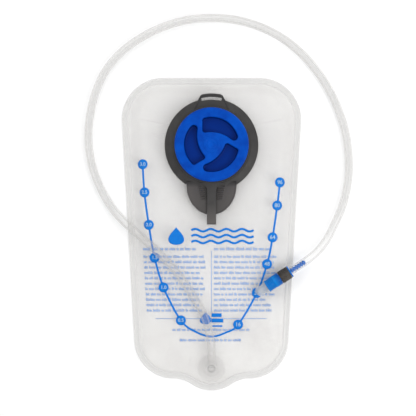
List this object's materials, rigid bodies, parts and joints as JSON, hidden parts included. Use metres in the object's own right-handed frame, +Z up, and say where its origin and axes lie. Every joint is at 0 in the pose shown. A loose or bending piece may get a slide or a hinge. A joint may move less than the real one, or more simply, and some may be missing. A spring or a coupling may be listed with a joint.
{
  "type": "hydration bladder",
  "caption": "Flat translucent water reservoir with a wide screw cap, tether and grip tongue, bottom outlet, long clear drinking hose and a twist-lock bite valve.",
  "frame": {"origin": "on the table, below the middle of the bag's box (without the hose and the bite valve)", "axes": "+X to the right and +Y to the top of the bag, seen from the fill port's side; +Z up out of the fill port"},
  "size_m": [0.3205, 0.4502, 0.0365],
  "materials": {
    "film": "milky translucent welded film",
    "collar": "semi-rigid grey moulding, satin",
    "cap": "satin blue moulding",
    "seal": "soft pale silicone",
    "tether": "soft grey moulding",
    "clear_fitting": "clear moulding",
    "o_ring": "black rubber",
    "hose": "clear flexible tube",
    "valve_blue": "translucent blue moulding",
    "lock_ring": "smoky translucent moulding",
    "silicone": "clear silicone"
  },
  "bodies": {
    "bag": {"back_film": "film", "front_film": "film", "port_collar": "collar", "tether_strap": "tether", "outlet_flange": "clear_fitting", "outlet_elbow": "clear_fitting", "outlet_seal": "o_ring", "hose": "hose", "valve_stem": "valve_blue", "valve_o_ring_rear": "o_ring", "valve_o_ring_front": "o_ring"},
    "tether": {"tether_ring": "tether"},
    "screw_cap": {"cap": "cap", "cap_seal": "seal"},
    "lock": {"lock_ring": "lock_ring"},
    "mouth": {"sleeve": "valve_blue", "mouthpiece": "silicone"}
  },
  "joints": [
    {"name": "cap_lift", "type": "slide", "parent": "bag", "child": "tether", "axis": [0, 0, 1], "range_m": [0, 0.024], "deforming": ["tether_strap"]},
    {"name": "cap_turn", "type": "hinge", "parent": "tether", "child": "screw_cap", "pos_m": [0, 0.106, 0.03], "axis": [0, 0, 1], "range_deg": [0, 720]},
    {"name": "lock_turn", "type": "hinge", "parent": "bag", "child": "lock", "pos_m": [0.0936, -0.0437, 0.0162], "axis": [-0.8371, -0.5471, 0], "range_deg": [0, 90]},
    {"name": "sleeve_slide", "type": "slide", "parent": "bag", "child": "mouth", "axis": [-0.8371, -0.5471, 0], "range_m": [0, 0.003]}
  ],
  "couplings": [
    {"joint": "cap_lift", "follows": "cap_turn", "m_per_rad": 0.0019098},
    {"joint": "lock_turn", "follows": "sleeve_slide", "rad_per_m": 523.59}
  ]
}
